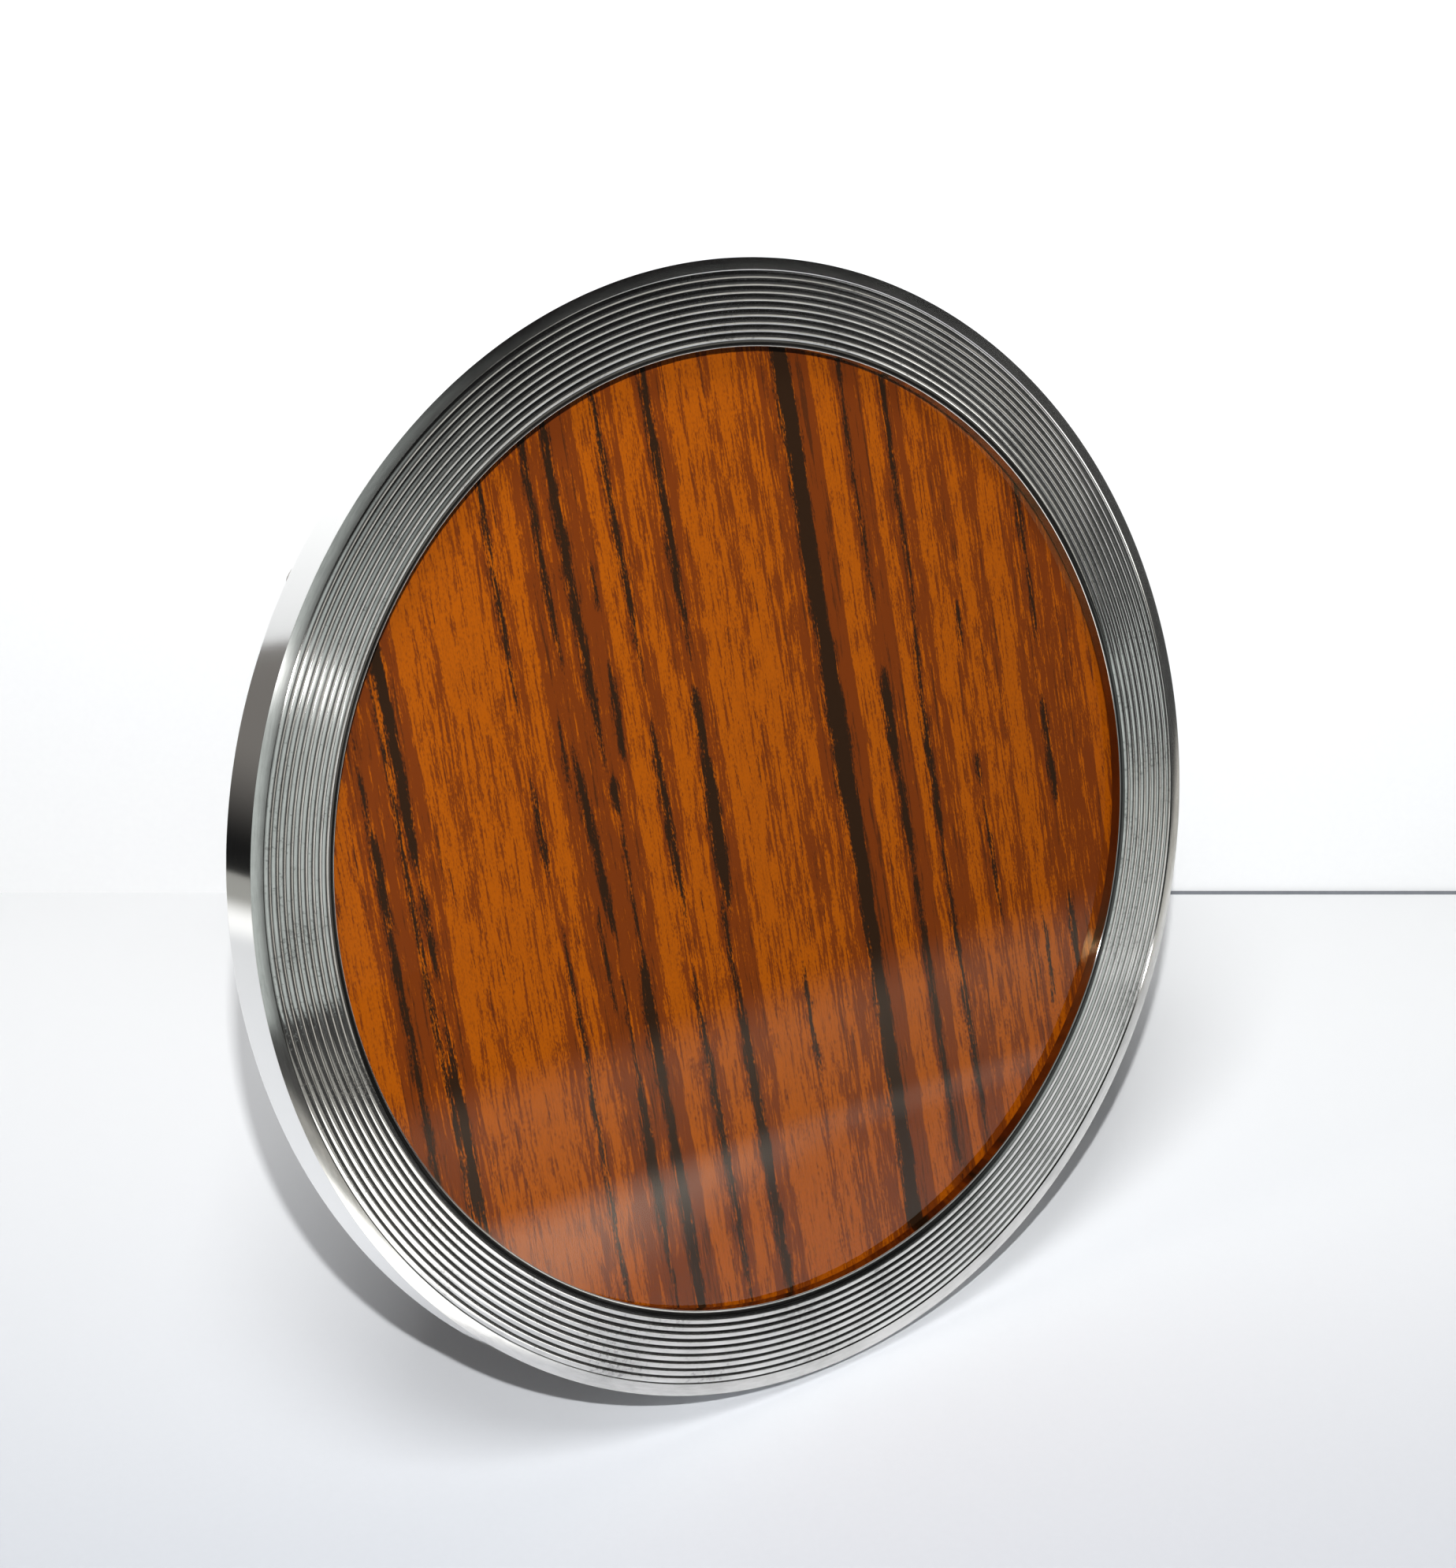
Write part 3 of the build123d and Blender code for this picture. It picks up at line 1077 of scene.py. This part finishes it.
@dataclass
class Ring:
    """The turned ring, with its reeds as real ridges; points are radius and height, in millimetres."""

    lean: Lean
    sizes: RingSizes
    around: int = 480
    reed_steps: int = 16
    round_steps: int = 6
    edge_support: float = 0.05
    lip_edge_radius: float = 0.12

    def reed(self, start: float) -> list[Point]:
        """Draws one round reed from its first groove up to, and not with, the next.

        Args:
            start: Radius of the first groove.

        Returns:
            The reed's points.
        """
        sizes = self.sizes
        points = []
        for index in range(self.reed_steps):
            share = 2 * index / self.reed_steps - 1
            radius = start + (share + 1) / 2 * sizes.reed_width
            points.append((radius, -sizes.reed_rise * share * share - sizes.crown_drop(radius)))
        return points

    def land(self) -> list[Point]:
        """Draws the outer land from the last groove to the rim: a steep inner side and a gently falling top.

        Returns:
            The land's points.
        """
        sizes = self.sizes
        top = -sizes.crown_drop(sizes.last_groove)
        start = sizes.last_groove + sizes.land_side
        points = [(sizes.last_groove, top - sizes.reed_rise)]
        for index in range(self.reed_steps + 1):
            share = index / self.reed_steps
            points.append((start + share * (sizes.radius - start), top - sizes.edge_drop * share * share))
        return points

    def section(self) -> list[Point]:
        """Draws the ring's section once round, from the back of the lip.

        Returns:
            The section's points.
        """
        sizes = self.sizes
        sight, lip_top, eased = sizes.sight, sizes.lip_top, self.lip_edge_radius
        points = [(sight, -sizes.lip_thickness), (sight, lip_top - eased - self.edge_support)]
        points += quarter_round((sight + eased, lip_top - eased), eased, pi, self.round_steps)
        points += [(sight + eased, lip_top), (sizes.lip_end, lip_top)]
        for index in range(sizes.reed_count):
            points += self.reed(sizes.first_groove + index * sizes.reed_width)
        points += self.land()
        rim, back, edge = sizes.radius, -sizes.depth, sizes.back_edge_radius
        points += [(rim, sizes.face_low - self.edge_support), (rim, back + edge + self.edge_support)]
        points += quarter_round((rim - edge, back + edge), edge, 0.0, self.round_steps)
        points += [(rim - edge, back), (sizes.rebate, back), (sizes.rebate, -sizes.lip_thickness)]
        return points

    def build(self) -> bpy.types.Object:
        """Builds and dresses the ring.

        Returns:
            The ring.
        """
        ring = turned("turned_ring", self.section(), self.around, self.lean, open_ends=False)
        ring.data.materials.append(SilverPlate(self.sizes).material())
        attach(ring, Body.FRAME.value)
        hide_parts("bezel_ring")
        return ring


@dataclass
class Glazing:
    """The glass, the printed card and the packing behind it, with sizes in millimetres."""

    nodes: dict[str, bpy.types.Object]
    lean: Lean
    sizes: RingSizes
    glass: float = 2.0
    clearance: float = 0.25
    arris: float = 0.2
    around: int = 256
    packing: PlainPaper = PlainPaper("grey_card", (0.42, 0.39, 0.34), (0.30, 0.28, 0.24))

    def pane(self) -> bpy.types.Object:
        """Builds and dresses the glass.

        Returns:
            The glass.
        """
        radius = self.sizes.rebate - self.clearance
        front = -self.sizes.lip_thickness
        back = front - self.glass
        section = [
            (radius - self.arris, back),
            (radius, back + self.arris),
            (radius, front - self.arris),
            (radius - self.arris, front),
        ]
        pane = turned("glass_pane", section, self.around, self.lean, open_ends=True)
        pane.data.materials.append(ClearGlass().material())
        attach(pane, Body.FRAME.value)
        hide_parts("glass_disc")
        return pane

    def build(self) -> list[bpy.types.Object]:
        """Builds the glass and dresses the two cards.

        Returns:
            The glass and the cards.
        """
        pane = self.pane()
        card = dress(self.nodes["woodgrain_card"], WoodgrainPrint(self.lean).material())
        packing = dress(self.nodes["packing_card"], self.packing.material())
        return [pane, card, packing]


@dataclass
class Back:
    """The back board, the strut and all their metal fittings."""

    nodes: dict[str, bpy.types.Object]
    board_nodes: tuple[str, ...] = ("back_board", "strut")
    rivet_nodes: tuple[str, ...] = ("back_leaf_rivets", "strut_leaf_rivets")
    plated_nodes: tuple[str, ...] = (
        "turn_button_1",
        "turn_button_2",
        "turn_button_3",
        "turn_button_4",
        "turn_button_screws",
        "turn_button_washers",
        "hinge_back_leaf",
        "hinge_strut_leaf",
        "hinge_pin",
    )
    board: Hardboard = Hardboard()
    nickel: SatinMetal = SatinMetal("nickelled_steel", (0.62, 0.60, 0.56), (0.26, 0.23, 0.19), 0.26)
    brass: SatinMetal = SatinMetal("rivet_brass", (0.72, 0.52, 0.22), (0.28, 0.17, 0.06), 0.3)

    def build(self) -> list[bpy.types.Object]:
        """Dresses the board, the strut and the fittings.

        Returns:
            The dressed solids.
        """
        board, nickel, brass = self.board.material(), self.nickel.material(), self.brass.material()
        dressed = [dress(self.nodes[name], board) for name in self.board_nodes]
        dressed += [dress(self.nodes[name], brass) for name in self.rivet_nodes]
        dressed += [dress(self.nodes[name], nickel) for name in self.plated_nodes]
        return dressed


@dataclass(frozen=True)
class StudioAxes:
    """The studio's own axes from the frame's foot: to the camera's right, level and away from it, and up.

    The turn is in degrees, and lengths are in metres.
    """

    turn: float = -37.141
    foot: Place = (0.0, -0.0185, 0.0)

    @property
    def right(self) -> Vector:
        """The camera's right in the row frame."""
        return Vector((cos(radians(self.turn)), sin(radians(self.turn)), 0.0))

    @property
    def away(self) -> Vector:
        """Level and away from the camera in the row frame."""
        return Vector((-sin(radians(self.turn)), cos(radians(self.turn)), 0.0))

    @property
    def up(self) -> Vector:
        """Up in the row frame."""
        return Vector((0.0, 0.0, 1.0))

    def point(self, right: float, away: float, up: float) -> Vector:
        """A point of the studio in the row frame."""
        return Vector(self.foot) + self.right * right + self.away * away + self.up * up

    def fade(self, direction: Vector, span: Span) -> Fade:
        """A fade along a direction, with its span in distances from the frame's foot."""
        foot = Vector(self.foot) @ direction
        return Fade(direction, foot + span[0], foot + span[1])

    def upright(self, start: Point, end: Point, height: float) -> list[Vector]:
        """The corners of an upright sheet that stands on a line from start to end on the floor."""
        corners = [(*start, 0.0), (*end, 0.0), (*end, height), (*start, height)]
        return [self.point(*corner) for corner in corners]

    def level(self, reach: float, back: float, height: float) -> list[Vector]:
        """The corners of a level sheet that reaches equally far to front and sides, and back to a line."""
        corners = [(-reach, -reach), (reach, -reach), (reach, back), (-reach, back)]
        return [self.point(*corner, height) for corner in corners]


def stage_sheet(name: str, corners: Sequence[Vector], material: bpy.types.Material) -> bpy.types.Object:
    """Adds one flat sheet of the studio, which isn't part of the frame.

    Args:
        name: The sheet's name.
        corners: Its corners in the row frame.
        material: Its finish.

    Returns:
        The sheet.
    """
    mesh = bpy.data.meshes.new(name)
    mesh.from_pydata(corners, [], [tuple(range(len(corners)))])
    mesh.materials.append(material)
    sheet = bpy.data.objects.new(name, mesh)
    bpy.context.scene.collection.objects.link(sheet)
    return sheet


def mirror_card(name: str, corners: Sequence[Vector], material: bpy.types.Material) -> None:
    """Adds one sheet of the studio that only mirrors see.

    Args:
        name: The sheet's name.
        corners: Its corners in the row frame.
        material: Its finish.
    """
    card = stage_sheet(name, corners, material)
    card.visible_camera = False
    card.visible_diffuse = False
    card.visible_shadow = False


@dataclass(frozen=True)
class PaperSet:
    """A paper floor with painted shade that darkens it near the camera and pales away from it, a backdrop,
    and a dark strip of painted shade in the fold between them.

    Lengths are in metres.
    """

    axes: StudioAxes
    reach: float = 1.6
    wall_distance: float = 0.1365
    wall_height: float = 1.0
    # Painted shade: the floor's darker colours near the camera, which pale to white over the paling span.
    near_painted_shade: Colour = (0.46, 0.480, 0.520)
    near_painted_shade_tooth: Colour = (0.452, 0.472, 0.512)
    white: Colour = (0.91, 0.92, 0.93)
    white_shade: Colour = (0.90, 0.91, 0.922)
    paling: Span = (-0.12, 0.14)
    held_light: float = 0.7
    # A dark strip that paints the shade in the fold.
    fold: PlainPaper = PlainPaper("fold_shade", (0.20, 0.21, 0.23), (0.18, 0.19, 0.21))
    fold_start: float = 0.03
    fold_height: float = 0.0007
    fold_gap: float = 0.0006

    def build(self) -> None:
        """Builds the floor, the backdrop and the fold's shade."""
        axes, reach, back, held = self.axes, self.reach, self.wall_distance, self.held_light
        # The floor carries painted shade, darker near the camera.
        floor = PlainPaper(
            "floor_paper",
            self.near_painted_shade,
            self.near_painted_shade_tooth,
            held_light=held,
            paler=self.white,
            fade=axes.fade(axes.away, self.paling),
        )
        stage_sheet("floor", axes.level(reach, reach, 0.0), floor.material())
        wall = PlainPaper("wall_paper", self.white, self.white_shade, one_way=True, held_light=held)
        wall_corners = axes.upright((-reach, back), (reach, back), self.wall_height)
        stage_sheet("backdrop", wall_corners, wall.material())
        # The fold's shade is painted by a dark strip just before the backdrop.
        edge = back - self.fold_gap
        fold_corners = axes.upright((self.fold_start, edge), (reach, edge), self.fold_height)
        stage_sheet("fold", fold_corners, self.fold.material())


@dataclass(frozen=True)
class MirrorCards:
    """The glowing cards and table top that paint what the ring and the glass mirror, with lengths in metres.

    The even span ends below the floor, so a card that fades over it has its tone at every height.
    """

    axes: StudioAxes
    papers: PaperSet
    dark_tone: Colour = (0.17, 0.16, 0.15)
    black_tone: Colour = (0.01, 0.01, 0.01)
    right_tone: Colour = (0.02, 0.02, 0.02)
    gap: float = 0.004
    left_line: Span = (-0.295, -0.9)
    left_height: float = 0.6
    side_place: float = -0.36
    side_front: float = -0.1
    side_height: float = 0.3
    low_height: float = 0.1
    even_span: Span = (-2.0, -1.0)
    low_span: Span = (-0.09, -0.02)
    right_start: float = 0.25
    right_span: Span = (0.26, 0.34)
    table_height: float = 0.0005
    table_front: Span = (0.07, 0.12)
    table_lit_side: Span = (0.22, 0.55)

    def build(self) -> None:
        """Stands the cards before the backdrop and at the left, and lays the table top over the floor."""
        axes, reach, side, front = self.axes, self.papers.reach, self.side_place, self.side_front
        near = self.papers.wall_distance - self.gap
        nearer, low_side = near - self.gap, side + self.gap
        left, left_end = self.left_line
        # Every sheet here glows with a painted tone that only mirrors see: painted reflections of dark
        # surroundings and of the table.
        dark = DarkCard("dark_card", self.dark_tone, axes.fade(axes.up, self.even_span)).material()
        black = DarkCard("black_card", self.black_tone, axes.fade(-axes.up, self.low_span)).material()
        aside = DarkCard("dark_side", self.right_tone, axes.fade(axes.right, self.right_span)).material()
        table_front = axes.fade(-axes.away, self.table_front)
        lit_side = axes.fade(axes.right, self.table_lit_side)
        table = PaintedTableReflection(Vector(axes.foot), table_front, lit_side).material()
        mirror_card("left_flag", axes.upright((left, near), (left_end, near), self.left_height), dark)
        mirror_card("side_flag", axes.upright((side, front), (side, near), self.side_height), dark)
        mirror_card("low_flag", axes.upright((left, nearer), (left_end, nearer), self.low_height), black)
        low_corners = axes.upright((low_side, front), (low_side, nearer), self.low_height)
        mirror_card("low_side_flag", low_corners, black)
        right_corners = axes.upright((self.right_start, nearer), (reach, nearer), self.papers.wall_height)
        mirror_card("right_flag", right_corners, aside)
        mirror_card("table", axes.level(reach, nearer, self.table_height), table)


@dataclass(frozen=True)
class SoftLamp:
    """A soft square lamp, placed on the studio's axes in metres, with its beam's angle in degrees."""

    name: str
    place: Place
    size: float
    power: float
    beam: float = 180.0
    mirrored: bool = True

    def build(self, axes: StudioAxes, target: Vector) -> None:
        """Adds the lamp.

        Args:
            axes: The studio's axes.
            target: The point in the row frame that the lamp looks at.
        """
        data = bpy.data.lights.new(self.name, "AREA")
        data.size = self.size
        data.energy = self.power
        data.spread = radians(self.beam)
        lamp = bpy.data.objects.new(self.name, data)
        bpy.context.scene.collection.objects.link(lamp)
        lamp.location = axes.point(*self.place)
        lamp.rotation_euler = (target - lamp.location).to_track_quat("-Z", "Y").to_euler()
        lamp.visible_glossy = self.mirrored


@dataclass(frozen=True)
class Room:
    """A dim room with a soft window in front of the frame, and a pale ground for the camera.

    The rise holds the heights between which the room darkens, and the window's direction is its Y and Z.
    """

    low_tone: Colour = (0.06, 0.06, 0.06)
    high_tone: Colour = (0.012, 0.012, 0.012)
    rise: Span = (0.05, 0.4)
    window: Colour = (0.58, 0.63, 0.62)
    window_direction: Point = (-0.990, 0.139)
    window_span: Span = (0.86, 1.0)
    ground: Colour = (0.88, 0.90, 0.93)

    def build(self) -> None:
        """Sets the room round the scene."""
        world = bpy.data.worlds.new("room")
        world.use_nodes = True
        graph = Graph(world.node_tree)
        _, y, z = graph.split(graph.wire("ShaderNodeTexCoord", {}, {}, "Generated"))
        window_y, window_z = self.window_direction
        window = (y * window_y + z * window_z).ease(*self.window_span)
        colour = graph.mix(z.ease(*self.rise), self.low_tone, self.high_tone)
        colour = graph.mix(window, colour, self.window)
        seen = graph.wire("ShaderNodeLightPath", {}, {}, "Is Camera Ray")
        colour = graph.mix(seen, colour, self.ground)
        background = graph.wire("ShaderNodeBackground", {}, {"Color": colour})
        graph.node("ShaderNodeOutputWorld", {}, {"Surface": background})
        bpy.context.scene.world = world


@dataclass(frozen=True)
class Studio:
    """The paper set, what mirrors see, the lamps, the room and the camera at the photograph's angle.

    The pitch is in degrees, the lens and the sensor are in millimetres, and places are in metres.
    """

    axes: StudioAxes = StudioAxes()
    pitch: float = 25.578
    lens: float = 87.662
    sensor: float = 36.0
    camera_place: Place = (-0.25543, -0.33627, 0.28125)
    target: Place = (0.0, 0.0, 0.16)
    flash: SoftLamp = SoftLamp("camera_lamp", (-0.0096, -0.4124, 0.3617), 0.008, 1.6, beam=125.0)
    fill: SoftLamp = SoftLamp("top_fill", (-0.1, -0.55, 1.2), 0.5, 9.9, mirrored=False)

    def camera(self) -> None:
        """Sets the camera."""
        data = bpy.data.cameras.new("camera")
        data.sensor_fit = "HORIZONTAL"
        data.sensor_width = self.sensor
        data.lens = self.lens
        camera = bpy.data.objects.new("camera", data)
        bpy.context.scene.collection.objects.link(camera)
        camera.location = self.camera_place
        camera.rotation_euler = Euler((radians(90 - self.pitch), 0.0, radians(self.axes.turn)))
        bpy.context.scene.camera = camera

    def build(self) -> None:
        """Builds the studio round the frame."""
        papers = PaperSet(self.axes)
        papers.build()
        MirrorCards(self.axes, papers).build()
        self.flash.build(self.axes, Vector(self.target))
        self.fill.build(self.axes, Vector(self.target))
        Room().build()
        bpy.context.scene.view_settings.view_transform = "Standard"
        self.camera()


def main() -> None:
    """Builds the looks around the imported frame."""
    logging.basicConfig(level=logging.INFO)
    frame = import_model()
    sizes = RingSizes()
    lean = Lean.from_joints(frame["joints"], sizes.depth * MM)
    pieces = [Ring(lean, sizes).build()]
    pieces += Glazing(frame["nodes"], lean, sizes).build()
    pieces += Back(frame["nodes"]).build()
    for piece in pieces:
        LOG.info("finished %s", piece.name)
    Studio().build()


if __name__ == "__main__":
    main()
